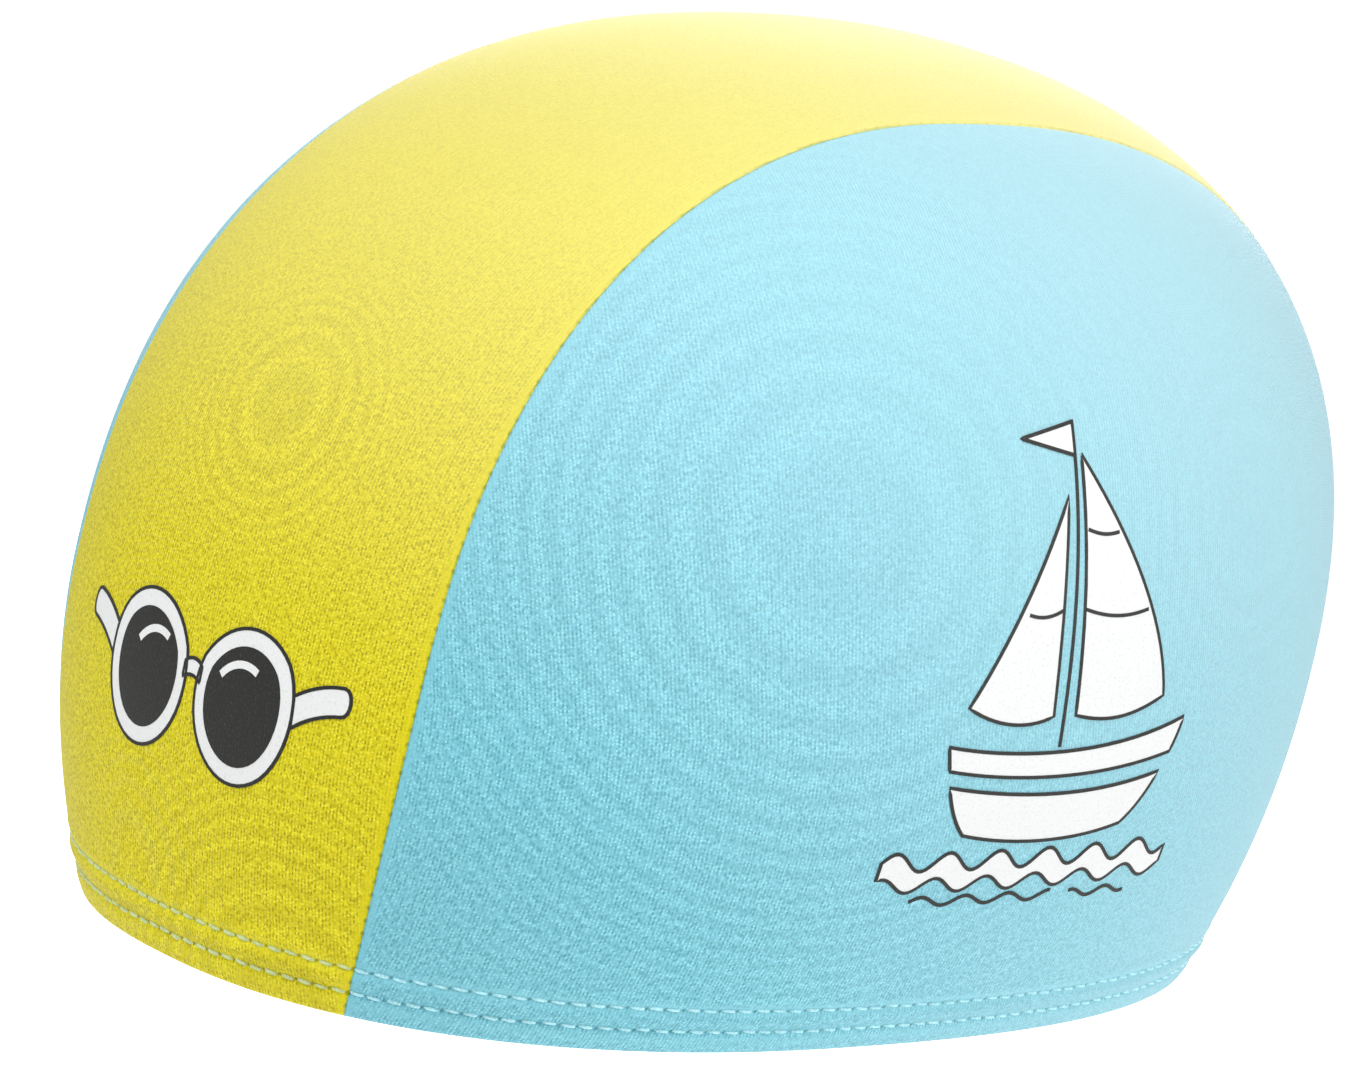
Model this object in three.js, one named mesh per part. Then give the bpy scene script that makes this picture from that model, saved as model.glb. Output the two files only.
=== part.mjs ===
// Swim cap of stretch knit, sewn from three panels and shown filled out as a head fills it.
// Units are millimetres, +Z is up, the front of the cap faces -Y and the wearer's left is +X.
// The origin is the middle of the head opening, and the hem's fold lies in the plane z = 0.

import * as THREE from "three";
import { mergeVertices } from "three/addons/utils/BufferGeometryUtils.js";

// Driving sizes of the filled cap
const HALF_WIDTH = 78;
const FRONT_REACH = 88; // from the middle of the widest level to its front
const BACK_REACH = 97;
const CROWN_RISE = 86.5; // from the widest level to the top
const WIDEST_HEIGHT = 48.5; // from the rim to the widest level
const FULLNESS = 2.3; // exponent of every section, where 2 is an ellipse and more is squarer
const LEAN = 0.125; // how far the cap leans back for each millimetre of height
const TUCK = { front: 0.1, back: 0, side: 0.22 }; // share of each reach lost at the rim

// Half width of the centre panel, straight across
const STRIP = { front: 42, top: 35.5, back: 30 };

// Cloth
const CLOTH = 1.2;
const DOUBLED = 2 * CLOTH; // the turned-up hem, and the sewn edges folded back inside a seam
const SEAM_GAP = 0.36; // straight across, which leaves about 0.3 between the panels

// The turned-up hem, from its fold to just above the raw edge inside. proud is how far the outer
// face stands off the plain surface, and depth is how far the inner face lies under that surface.
const HEM_ROWS = [
  { height: 0, proud: -0.8, depth: 1.7 },
  { height: 0.9, proud: 0.15, depth: 2.5 },
  { height: 4, proud: 0, depth: 2.3 }, // lower row of stitches
  { height: 5.8, proud: 0.35, depth: 2.5 }, // the roll between the rows
  { height: 7.7, proud: 0, depth: 2.3 }, // upper row of stitches
  { height: 9.6, proud: 0.1, depth: DOUBLED },
  { height: 10.4, proud: 0, depth: CLOTH },
];
const WALL_HEIGHTS = [19, 29, 39]; // plain rows between the hem and the widest level
const ARCH_STEPS = 24; // rows over the top, from the front to the back

// Columns of half a panel. place runs from 0 at the seam to 1 at the ear or at the middle line.
const SIDE_COLUMNS = [
  { place: 0, depth: DOUBLED },
  { place: 0.05, depth: DOUBLED },
  { place: 0.062, depth: CLOTH },
  ...plainColumns([0.16, 0.28, 0.4, 0.52, 0.64, 0.76, 0.88, 1]),
];
const CENTRE_COLUMNS = [
  { place: 0, depth: DOUBLED },
  { place: 0.12, depth: DOUBLED },
  { place: 0.15, depth: CLOTH },
  ...plainColumns([0.43, 0.72, 1]),
];

// Colours
const YELLOW = "#e4d845";
const BLUE = "#a2e0ef";
const KNIT_ROUGHNESS = 0.85;

// Accuracy of the working
const NORMAL_STEP = 0.05; // of the small steps that find a surface's direction
const SETTLING_ROUNDS = 3; // that bring a wall's point to its row's height
const WELD = 1e-4;

// The middle of the head opening, before the cap is moved to set it on the origin
const OPENING_MIDDLE =
  (BACK_REACH * (1 - TUCK.back) - FRONT_REACH * (1 - TUCK.front)) / 2 - LEAN * WIDEST_HEIGHT;

function plainColumns(places) {
  return places.map((place) => ({ place, depth: CLOTH }));
}

// A point of the plain dome: a superellipsoid above the widest level and an upright wall below it.
// across is 0 at the left ear, a quarter turn on the middle line and a half turn at the right ear.
// along is 0 in the front wall and a half turn in the back wall, and runs over the top between.
function plainPoint(across, along, drop) {
  const power = 2 / FULLNESS;
  const x = HALF_WIDTH * Math.sign(Math.cos(across)) * Math.abs(Math.cos(across)) ** power;
  const reach = Math.cos(along) > 0 ? FRONT_REACH : BACK_REACH;
  const level = Math.abs(Math.cos(along) / reach) ** FULLNESS;
  const upright = Math.abs(Math.sin(along) / CROWN_RISE) ** FULLNESS;
  const radius = Math.max(0, Math.sin(across)) ** power * (level + upright) ** (-1 / FULLNESS);
  return new THREE.Vector3(x, -radius * Math.cos(along), radius * Math.sin(along) - drop);
}

// The plain dome's direction outwards.
function plainNormal(point) {
  const slope = (value, reach) =>
    (Math.sign(value) * Math.abs(value / reach) ** (FULLNESS - 1)) / reach;
  return new THREE.Vector3(
    slope(point.x, HALF_WIDTH),
    slope(point.y, point.y < 0 ? FRONT_REACH : BACK_REACH),
    slope(Math.max(0, point.z), CROWN_RISE),
  ).normalize();
}

// Tucks the wall in towards the rim, leans the cap back and sets it over the origin.
function shaped(point) {
  const down = (Math.max(0, -point.z) / WIDEST_HEIGHT) ** 2;
  const endTuck = point.y < 0 ? TUCK.front : TUCK.back;
  return new THREE.Vector3(
    point.x * (1 - TUCK.side * down),
    point.y * (1 - endTuck * down) + LEAN * point.z - OPENING_MIDDLE,
    point.z + WIDEST_HEIGHT,
  );
}

// The cap's direction outwards at a point of the plain dome, from two small steps along the dome.
function outward(point) {
  const normal = plainNormal(point);
  const aside = Math.abs(normal.z) > 0.7 ? new THREE.Vector3(0, 1, 0) : new THREE.Vector3(0, 0, 1);
  const first = aside.cross(normal).normalize();
  const second = normal.clone().cross(first);
  const carried = (direction) => {
    const ahead = shaped(point.clone().addScaledVector(direction, NORMAL_STEP));
    return ahead.sub(shaped(point.clone().addScaledVector(direction, -NORMAL_STEP)));
  };
  return carried(first).cross(carried(second)).normalize();
}

// A point off the cap's plain surface. Below the widest level it keeps its row's height.
function wallPoint(across, row, offset) {
  const inWall = row.height < WIDEST_HEIGHT;
  let drop = WIDEST_HEIGHT - row.height;
  let point = plainPoint(across, row.along, drop);
  let normal = outward(point);
  for (let round = 0; inWall && round < SETTLING_ROUNDS; round += 1) {
    drop = WIDEST_HEIGHT - row.height + offset * normal.z;
    point = plainPoint(across, row.along, drop);
    normal = outward(point);
  }
  return shaped(point).addScaledVector(normal, offset);
}

// The place of the left seam in a row, moved across by shift.
function seamAngle(along, shift) {
  const end = Math.cos(along) > 0 ? STRIP.front : STRIP.back;
  const halfWidth = STRIP.top + (end - STRIP.top) * Math.cos(along) ** 2 + shift;
  return Math.acos((halfWidth / HALF_WIDTH) ** (FULLNESS / 2));
}

function sideAngle(along, column) {
  return seamAngle(along, SEAM_GAP / 2) * (1 - column.place);
}

function centreAngle(along, column) {
  const seam = seamAngle(along, -SEAM_GAP / 2);
  const left = seam + (Math.PI / 2 - seam) * column.place;
  return column.right ? Math.PI - left : left;
}

// Rows from the rim up the front, over the top and down the back to the rim.
function panelRows() {
  const plainWall = WALL_HEIGHTS.map((height) => ({ height, proud: 0, depth: CLOTH }));
  const wall = [...HEM_ROWS, ...plainWall];
  const arch = Array.from({ length: ARCH_STEPS + 1 }, (_, step) => ({
    along: (step * Math.PI) / ARCH_STEPS,
    height: WIDEST_HEIGHT,
    proud: 0,
    depth: CLOTH,
  }));
  return [
    ...wall.map((row) => ({ ...row, along: 0 })),
    ...arch,
    ...wall.map((row) => ({ ...row, along: Math.PI })).reverse(),
  ];
}

// Merges equal points, and drops the triangles that have closed up where rows meet at an ear.
function weldedGeometry(positions, triangles) {
  const loose = new THREE.BufferGeometry();
  loose.setAttribute("position", new THREE.Float32BufferAttribute(positions, 3));
  loose.setIndex(triangles);
  const welded = mergeVertices(loose, WELD);
  const index = welded.getIndex().array;
  const open = [];
  for (let corner = 0; corner < index.length; corner += 3) {
    const [a, b, c] = index.slice(corner, corner + 3);
    if (a !== b && b !== c && c !== a) open.push(a, b, c);
  }
  welded.setIndex(open);
  welded.computeVertexNormals();
  return welded;
}

// A panel as one closed wall of cloth. Its columns run from the wearer's right to the left.
// A side panel's last column is a line down from the ear, where its front and back meet.
function panelGeometry(columns, angle, meetsAtLast) {
  const rows = panelRows();
  const positions = [];
  for (const row of rows) {
    for (const column of columns) {
      const across = angle(row.along, column);
      const depth = Math.max(row.depth, column.depth);
      positions.push(...wallPoint(across, row, row.proud).toArray());
      positions.push(...wallPoint(across, row, -depth).toArray());
    }
  }
  const triangles = [];
  const quad = (a, b, c, d) => triangles.push(a, b, c, a, c, d);
  const outer = (row, column) => 2 * (row * columns.length + column);
  const inner = (row, column) => outer(row, column) + 1;
  const edge = (from, to) => quad(outer(...from), outer(...to), inner(...to), inner(...from));
  const lastRow = rows.length - 1;
  const lastColumn = columns.length - 1;
  for (let row = 0; row < lastRow; row += 1) {
    for (let column = 0; column < lastColumn; column += 1) {
      const cell = [[row, column], [row, column + 1], [row + 1, column + 1], [row + 1, column]];
      quad(...cell.map((corner) => outer(...corner)));
      quad(...cell.map((corner) => inner(...corner)).reverse());
    }
    edge([row, 0], [row + 1, 0]);
    if (!meetsAtLast) edge([row + 1, lastColumn], [row, lastColumn]);
  }
  for (let column = 0; column < lastColumn; column += 1) {
    edge([0, column + 1], [0, column]);
    edge([lastRow, column], [lastRow, column + 1]);
  }
  return weldedGeometry(positions, triangles);
}

function leftSideGeometry() {
  return panelGeometry(SIDE_COLUMNS, sideAngle, true);
}

// The left side panel mirrored, with its faces turned round to point outwards again.
function rightSideGeometry() {
  const geometry = leftSideGeometry().scale(-1, 1, 1);
  const index = Array.from(geometry.getIndex().array);
  for (let corner = 0; corner < index.length; corner += 3) {
    [index[corner], index[corner + 1]] = [index[corner + 1], index[corner]];
  }
  geometry.setIndex(index);
  geometry.computeVertexNormals();
  return geometry;
}

function centreGeometry() {
  const right = CENTRE_COLUMNS.map((column) => ({ ...column, right: true }));
  const left = CENTRE_COLUMNS.slice(0, -1).reverse();
  return panelGeometry([...right, ...left], centreAngle, false);
}

function knitMesh(name, geometry, color) {
  const material = new THREE.MeshStandardMaterial({
    color,
    roughness: KNIT_ROUGHNESS,
    metalness: 0,
  });
  const mesh = new THREE.Mesh(geometry, material);
  mesh.name = name;
  return mesh;
}

const swimCap = new THREE.Group();
swimCap.add(knitMesh("centre_panel", centreGeometry(), YELLOW));
swimCap.add(knitMesh("side_panel_left", leftSideGeometry(), BLUE));
swimCap.add(knitMesh("side_panel_right", rightSideGeometry(), BLUE));

export default swimCap;
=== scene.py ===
"""Looks of the swim cap: knit panels, a cover-stitched hem, sewn seams and two printed films.

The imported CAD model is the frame. Sizes here are in millimetres, as in the CAD source, and
new_object() turns them into metres. +Z is up, the front faces -Y and the wearer's left is +X.
"""

import math

import bmesh
import bpy
import numpy as np
from mathutils import Matrix, Vector
from mathutils.geometry import delaunay_2d_cdt


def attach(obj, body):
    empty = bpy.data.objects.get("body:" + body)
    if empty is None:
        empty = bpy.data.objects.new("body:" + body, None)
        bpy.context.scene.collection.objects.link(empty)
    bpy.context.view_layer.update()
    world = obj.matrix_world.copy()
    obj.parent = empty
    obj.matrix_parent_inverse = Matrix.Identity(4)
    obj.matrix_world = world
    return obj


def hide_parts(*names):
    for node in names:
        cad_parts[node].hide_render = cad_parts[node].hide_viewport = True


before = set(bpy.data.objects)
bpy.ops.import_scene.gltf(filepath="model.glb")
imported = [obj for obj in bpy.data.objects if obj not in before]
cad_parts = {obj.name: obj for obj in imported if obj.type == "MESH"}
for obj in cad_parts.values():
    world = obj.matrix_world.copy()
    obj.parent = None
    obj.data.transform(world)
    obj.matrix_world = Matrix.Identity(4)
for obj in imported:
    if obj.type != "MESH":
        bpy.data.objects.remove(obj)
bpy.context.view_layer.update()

MM = 0.001
BODY = "root"

# Shape of the filled cap, as in the CAD source
HALF_WIDTH = 78.0
FRONT_REACH = 88.0
BACK_REACH = 97.0
CROWN_RISE = 86.5
WIDEST_HEIGHT = 48.5
FULLNESS = 2.3
LEAN = 0.125
FRONT_TUCK = 0.1
BACK_TUCK = 0.0
SIDE_TUCK = 0.22
STRIP_FRONT = 42.0
STRIP_TOP = 35.5
STRIP_BACK = 30.0
OPENING_MIDDLE = (
    BACK_REACH * (1 - BACK_TUCK) - FRONT_REACH * (1 - FRONT_TUCK)
) / 2 - LEAN * WIDEST_HEIGHT

# Cloth and hem
CLOTH = 0.9
HEM_DEPTH = 2 * CLOTH
HEM_TOP = 11.0
RAW_EDGE = 9.6
LOWER_ROW = 4.0
UPPER_ROW = 7.7
HEM_MIDDLE = (LOWER_ROW + UPPER_ROW) / 2
# Relief of the hem's outer face: height of the middle, height of the relief, half spread
HEM_RELIEF = [
    (2.1, 0.14, 0.9),
    (LOWER_ROW, -0.34, 0.42),
    (HEM_MIDDLE + 0.2, 0.36, 0.95),
    (UPPER_ROW, -0.32, 0.42),
    (9.2, 0.12, 0.7),
]
# Relief beside a seam: distance from the seam, height of the relief, half spread
YELLOW_SEAM_RELIEF = [(0.0, -0.24, 0.16), (0.8, 0.06, 0.5)]
BLUE_SEAM_RELIEF = [(0.0, -0.3, 0.22), (1.3, 0.03, 0.7)]

# Meshes of the panels
FOLD_STEPS = 4
HEM_STEP = 0.34
WALL_STEPS = 21
ARCH_STEPS = 120
SEAM_COLUMNS = [0, 0.08, 0.17, 0.28, 0.42, 0.6, 0.85, 1.2, 1.65, 2.2, 3.0]
SIDE_COLUMNS = 92
CENTRE_COLUMNS = 46
LENGTH_SAMPLES = 500
NORMAL_STEP = 0.05
SETTLING_ROUNDS = 3
WELD = 1e-6  # metres

# Inside of the seams
SEAM_FOLD_TOP = 0.5  # how far below HEM_TOP the folds start
# Section of a fold: distances from the seam, and how far each is rounded off
SEAM_FOLD_SECTION = [0.15, 1.2, 2.4, 3.6, 4.8, 5.7]
SEAM_FOLD_ROUNDING = [0.25, 0.05, 0, 0, 0.05, 0.3]
SEAM_FOLD_NEAR = 0.95  # depth of the fold's two faces under the outer surface
SEAM_FOLD_FAR = 2.15
SEAM_REACH_SHARE = 0.2  # of the way to the ear, within which the folds lie
SEAM_REACH_SAMPLES = 80
OVERLOCK_PITCH = 2.3
OVERLOCK_RADIUS = 0.16
OVERLOCK_RAISED = 0.7  # share of its radius that the thread stands off the fold
OVERLOCK_STEPS = 10
OVERLOCK_REACH = (1.0, 6.1)

# Cover stitching
STITCH_PITCH = 2.75
RING_SAMPLES = 6001
THREAD_RADIUS = 0.26
THREAD_SIDES = 8
# Path of one stitch: share of the pitch, height off the cloth, share of the thread's radius
STITCH_PATH = [
    (0.07, -0.75, 0.5),
    (0.13, -0.3, 0.8),
    (0.23, 0.0, 0.98),
    (0.36, 0.08, 1.05),
    (0.5, 0.1, 1.08),
    (0.64, 0.08, 1.05),
    (0.77, 0.0, 0.98),
    (0.87, -0.3, 0.8),
    (0.93, -0.75, 0.5),
]
STITCH_SLANT = 0.3
STITCH_WANDER = 0.08
STITCH_SHIFT = 0.03  # of a stitch along its row, as a share of the pitch
STITCH_SPREAD = 0.08  # of the thread's radius from stitch to stitch, as a share of it
STITCH_RAISED = 0.25  # share of its radius that the thread is raised off the groove
THICKER_ON_YELLOW = 0.08  # share by which the thread looks thicker on the centre panel
LOOPER_STEPS = 10
LOOPER_RADIUS = 0.2
LOOPER_OVERSHOOT = 0.25
LOOPER_SWELL = 0.6
INNER_THREAD_SIDES = 6

# Prints
FILM_LIFT = 0.09
FILM_DEPTH = 0.16
LINE_LIFT = 0.13
LINE_WIDTH = 0.52
GLINT_LIFT = 0.17
GLINT_WIDTH = 1.1
GOGGLES_HEIGHT = 1.2  # times the height that their outlines give
EYE_MIDDLE = (10.8, -0.4)
FRAME_GROWTH = 1.14
LENS_GROWTH = 0.88
FILM_GRID = 1.6
WAVE_STEP = 0.6
SIDE_PRINT_PLACE = (4.5, 61.5)
FRONT_PRINT_PLACE = (4.0, 40.5)

# Knit. Shares are of the full change of colour, from 0 to 1.
WALE_PITCH = 0.55
WALE_DRIFT = 0.4  # how far the wales wander
DASH_PITCH = 0.78
LOOP_PITCH = 0.5
HOLE_RISE = 0.05
KNIT_LEAN = 8.0  # degrees that the side panels' wales lean forward
GRAIN_DENSITY = (1.9, 1.5)  # across and along the wales
GRAIN_DARK = 0.8
GRAIN_BRIGHT = 0.6
# Painted white haze in place of the lights' sheen: lighter towards the crown and the back
PAINTED_HAZE_WHITE = (0.85, 0.85, 0.85)
PAINTED_HAZE_AT_RIM = 0.039  # and for each millimetre up and back from there
PAINTED_HAZE_BY_HEIGHT = 0.00179
PAINTED_HAZE_TO_BACK = 0.00155
PAINTED_HAZE_ROUNDING = 0.02
PLAIN_AT_CROWN = 0.2
PLAIN_BY_SEAM = 0.7
SEAM_STITCH = 2.05
PRICK_SHARE = 0.45
# Painted shade in the needle holes
HOLE_SHADE_SHARE = 0.6
STREAK_DENSITY = (3.6, 0.3)  # for each stitch, and for each millimetre of height
# Painted shade in the hem's fine puckers
PUCKER_SHADE_SHARE = 0.15
# Painted shade and highlight on the hem's roll, where it turns from and to the light
PAINTED_SHADE_SHARE = 0.22
PAINTED_HIGHLIGHT_SHARE = 0.42
LOWER_HIGHLIGHT_SHARE = 0.6
ARC_SHARE = 0.24
ARC_FADE = 0.6  # share of an arc's reach within which it is at full strength
# Faint arcs: middle, turns in a square millimetre, reach
LEFT_ARCS = [((70.8, -33.3, 78.1), 0.0031, 95.0), ((69.0, 42.7, 80.8), 0.006, 30.0)]
RIGHT_ARCS = [((-x, y, z), turns, reach) for (x, y, z), turns, reach in LEFT_ARCS]
YELLOW_ARCS = [((24.3, -83.9, 0.0), 0.0069, 48.0), ((4.8, -82.6, 80.8), 0.013, 26.0)]

# Where each mark of the knit starts to show and where it is full: the first four by the share of
# a pitch, those named for chance or grain by a random value, and the rest by millimetres
GROOVE_FADE = (0.36, 0.1)
DASH_FADE = (0.04, 0.3)
CREST_FADE = (0.12, 0.42)
LOOP_FADE = (0.05, 0.35)
DASH_CHANCE = (0.05, 0.95)
LOOP_CHANCE = (0.15, 1.0)
LOOP_SEED = 7.0
PRICK_FADE = (0.5, 0.15)
MARGIN_FADE = (1.6, 0.9)
HOLE_FADE = (0.44, 0.12)
STREAK_CHANCE = (0.42, 0.66)
STREAK_TOP = (UPPER_ROW + 0.4, UPPER_ROW - 0.8)
DARK_GRAIN = (0.5, 0.7)
BRIGHT_GRAIN = (0.48, 0.32)
# Bands of painted highlight and shade on the hem's roll: height of the middle and half spread
UPPER_HIGHLIGHT_BAND = (UPPER_ROW, 1.7)
LOWER_HIGHLIGHT_BAND = (LOWER_ROW - 1.5, 1.4)
PAINTED_SHADE_BAND = (LOWER_ROW + 0.9, 1.3)
BAND_CORE = 0.2

# Colours: the cloth's own, its shade, its light and the painted shade in its needle holes
BLUE = [(0.204, 0.575, 0.688), (0.092, 0.345, 0.425), (0.37, 0.81, 0.91), (0.05, 0.25, 0.3)]
YELLOW = [(0.735, 0.64, 0.009), (0.37, 0.31, 0.002), (0.94, 0.88, 0.06), (0.15, 0.17, 0.02)]
THREAD_ON_BLUE = (0.5, 0.9, 0.97)
THREAD_ON_YELLOW = (0.62, 0.73, 0.35)
THREAD_SHADE = 0.75
WHITE_FILM = [(0.78, 0.79, 0.79), (0.6, 0.62, 0.62)]
DARK_FILM = [(0.02, 0.02, 0.018), (0.06, 0.06, 0.055)]
FLOOR_COLOUR = (0.93, 0.93, 0.93)

# Relief that is only in the materials: share of the bump's depth for each mark, and the depths
GROOVE_BUMP = -0.6
LOOP_BUMP = 0.5
GRAIN_BUMP = 0.5
HOLE_BUMP = -1.6
STREAK_BUMP = -0.35
KNIT_BUMP_DEPTH = 0.16
TWIST_BUMP_DEPTH = 0.08
TWIST_DENSITY = 2600.0  # in a metre
TWIST_FADE = (0.35, 0.7)
FILM_BUMP_DEPTH = 0.1
FILM_WALE_BUMP = 0.2
FILM_GRAIN_DENSITY = 2.2
FILM_GRAIN = (0.5, 0.8)
FILM_FADE = 0.7

# Studio
WORLD_LIGHT = 0.3
WORLD_SEEN = 1.0
FLOOR_GLOW = 0.15
FLOOR_SEEN = 0.72
FLOOR_RADIUS = 5.0  # metres
FLOOR_LEVEL = -0.3  # metres
FLOOR_SIDES = 96
LIGHT_DISTANCE = 1.5  # metres
LIGHT_SIZE = 1.0  # metres
# Name, azimuth from the front and elevation in degrees, power in watts
LIGHTS = [
    ("top_light", 60.0, 70.0, 11.8),
    ("front_light", 15.0, 45.0, 9.3),
    ("side_light", 120.0, 12.0, 10.6),
    ("fill_light", 320.0, 40.0, 3.6),
    ("back_light", 228.0, 16.0, 10.5),
]

# Camera, found from the photograph
VIEW_AZIMUTH = 50.4208
VIEW_ELEVATION = 11.6237
VIEW_ROLL = -8.2913
VIEW_DISTANCE = 1200.0
VIEW_LENS = 216.03
VIEW_SHIFT_RIGHT = 0.72
VIEW_SHIFT_UP = 9.86
SENSOR_WIDTH = 36.0
CLIP_END = 100.0  # metres
SHAPE_CENTRE = (0.0, -OPENING_MIDDLE, WIDEST_HEIGHT)


# Shape


def plain_point(across, along, drop):
    """A point of the plain dome. across is 0 at the left ear and pi at the right one."""
    power = 2 / FULLNESS
    x = HALF_WIDTH * np.sign(np.cos(across)) * np.abs(np.cos(across)) ** power
    reach = np.where(np.cos(along) > 0, FRONT_REACH, BACK_REACH)
    level = np.abs(np.cos(along) / reach) ** FULLNESS
    upright = np.abs(np.sin(along) / CROWN_RISE) ** FULLNESS
    radius = np.maximum(0, np.sin(across)) ** power * (level + upright) ** (-1 / FULLNESS)
    return np.stack([x, -radius * np.cos(along), radius * np.sin(along) - drop], -1)


def unit(vectors):
    return vectors / np.maximum(np.linalg.norm(vectors, axis=-1, keepdims=True), 1e-12)


def plain_normal(point):
    """The plain dome's direction outwards."""
    reach = np.where(point[..., 1] < 0, FRONT_REACH, BACK_REACH)
    shares = [
        (point[..., 0], HALF_WIDTH),
        (point[..., 1], reach),
        (np.maximum(0, point[..., 2]), CROWN_RISE),
    ]
    slopes = [np.sign(v) * np.abs(v / r) ** (FULLNESS - 1) / r for v, r in shares]
    return unit(np.stack(slopes, -1))


def shaped(point):
    """Tucks the wall in towards the rim, leans the cap back and sets it over the origin."""
    x, y, z = point[..., 0], point[..., 1], point[..., 2]
    down = (np.maximum(0, -z) / WIDEST_HEIGHT) ** 2
    end_tuck = np.where(y < 0, FRONT_TUCK, BACK_TUCK)
    back = y * (1 - end_tuck * down) + LEAN * z - OPENING_MIDDLE
    return np.stack([x * (1 - SIDE_TUCK * down), back, z + WIDEST_HEIGHT], -1)


def outward(point):
    """The cap's direction outwards at points of the plain dome."""
    normal = plain_normal(point)
    steep = np.abs(normal[..., 2:]) > 0.7
    aside = np.where(steep, np.array([0.0, 1.0, 0.0]), np.array([0.0, 0.0, 1.0]))
    first = unit(np.cross(aside, normal))
    second = np.cross(normal, first)

    def carried(direction):
        return shaped(point + direction * NORMAL_STEP) - shaped(point - direction * NORMAL_STEP)

    return unit(np.cross(carried(first), carried(second)))


def wall_point(across, along, height, offset):
    """Points off the cap's plain surface. Below the widest level they keep their height."""
    across, along, height, offset = np.broadcast_arrays(across, along, height, offset)
    in_wall = height < WIDEST_HEIGHT
    drop = WIDEST_HEIGHT - height
    for _ in range(SETTLING_ROUNDS):
        normal = outward(plain_point(across, along, drop))
        drop = WIDEST_HEIGHT - height + np.where(in_wall, offset * normal[..., 2], 0)
    point = plain_point(across, along, drop)
    return shaped(point) + outward(point) * offset[..., None]


def seam_angle(along):
    """The place of the left seam."""
    end = np.where(np.cos(along) > 0, STRIP_FRONT, STRIP_BACK)
    half_width = STRIP_TOP + (end - STRIP_TOP) * np.cos(along) ** 2
    return np.arccos((half_width / HALF_WIDTH) ** (FULLNESS / 2))


def running_length(points):
    """The length run along lines of points, from 0 at their first."""
    steps = np.linalg.norm(np.diff(points, axis=-2), axis=-1)
    start = np.zeros(steps.shape[:-1] + (1,))
    return np.concatenate([start, np.cumsum(steps, axis=-1)], -1)


def relief(table, place):
    return sum(rise * np.exp(-(((place - middle) / spread) ** 2)) for middle, rise, spread in table)


# Meshes


def new_object(name, points, faces, material, slot_name, uvs=None, weld=False, sharp=50):
    """A mesh object on the cap's body, from points in millimetres."""
    mesh = bpy.data.meshes.new(name)
    mesh.from_pydata((np.asarray(points) * MM).tolist(), [], [list(map(int, f)) for f in faces])
    for layer_name, values in (uvs or {}).items():
        layer = mesh.uv_layers.new(name=layer_name)
        corners = np.zeros(len(mesh.loops), dtype=np.int32)
        mesh.loops.foreach_get("vertex_index", corners)
        layer.data.foreach_set("uv", np.asarray(values, dtype=np.float32)[corners].ravel())
    if weld:
        work = bmesh.new()
        work.from_mesh(mesh)
        bmesh.ops.remove_doubles(work, verts=work.verts, dist=WELD)
        work.to_mesh(mesh)
        work.free()
    mesh.shade_smooth()
    mesh.set_sharp_from_angle(angle=math.radians(sharp))
    mesh.materials.append(material)
    made = bpy.data.objects.new(name, mesh)
    bpy.context.scene.collection.objects.link(made)
    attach(made, BODY)
    return made


def grid_faces(row_count, column_count, first=0):
    rows, columns = np.indices((row_count - 1, column_count - 1))
    corner = (first + rows * column_count + columns).reshape(-1, 1)
    return corner + np.array([0, 1, column_count + 1, column_count])


def wall_mesh(outer, inner, sides):
    """Two grids joined at some sides, in turn the first and last column and row."""
    shape = outer.shape[:2]
    count = shape[0] * shape[1]
    index = np.arange(count).reshape(shape)
    faces = [grid_faces(*shape), grid_faces(*shape, count)[:, ::-1]]
    edges = [(index[:, 0], 1), (index[:, -1], -1), (index[0], -1), (index[-1], 1)]
    for edge, way in edges[:sides]:
        strip = np.stack([edge[:-1], edge[1:], edge[1:] + count, edge[:-1] + count], -1)
        faces.append(strip[:, ::way])
    return np.concatenate([outer.reshape(-1, 3), inner.reshape(-1, 3)]), np.concatenate(faces)


def mirrored(points, faces):
    """The same mesh on the wearer's right."""
    return points * np.array([-1, 1, 1]), [face[::-1] for face in faces]


def course(points, closed):
    """The way that lines of points run, at each of their points."""
    if closed:
        return unit(np.roll(points, -1, -2) - np.roll(points, 1, -2))
    return unit(np.gradient(points, axis=-2))


def tube_mesh(paths, outs, radii, sides, closed):
    """Tubes along paths, an array of tubes by points by three. outs point off the cloth."""
    tubes, steps = paths.shape[:2]
    tangent = course(paths, closed)
    aside = unit(np.cross(tangent, outs))
    off = np.cross(aside, tangent)
    turn = np.linspace(0, 2 * np.pi, sides, endpoint=False)
    ring = (
        aside[:, :, None] * np.cos(turn)[:, None] + off[:, :, None] * np.sin(turn)[:, None]
    ) * np.broadcast_to(radii, (tubes, steps))[:, :, None, None]
    points = (paths[:, :, None] + ring).reshape(-1, 3)
    step_count = steps if closed else steps - 1
    t, s, k = np.indices((tubes, step_count, sides))
    here = (t * steps + s) * sides
    there = (t * steps + (s + 1) % steps) * sides
    after = (k + 1) % sides
    faces = np.stack([here + k, there + k, there + after, here + after], -1).reshape(-1, 4).tolist()
    if not closed:
        for tube in range(tubes):
            start = tube * steps * sides
            end = start + (steps - 1) * sides
            faces.append([start + k for k in range(sides)])
            faces.append([end + k for k in reversed(range(sides))])
    return points, faces


# Panels


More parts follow.
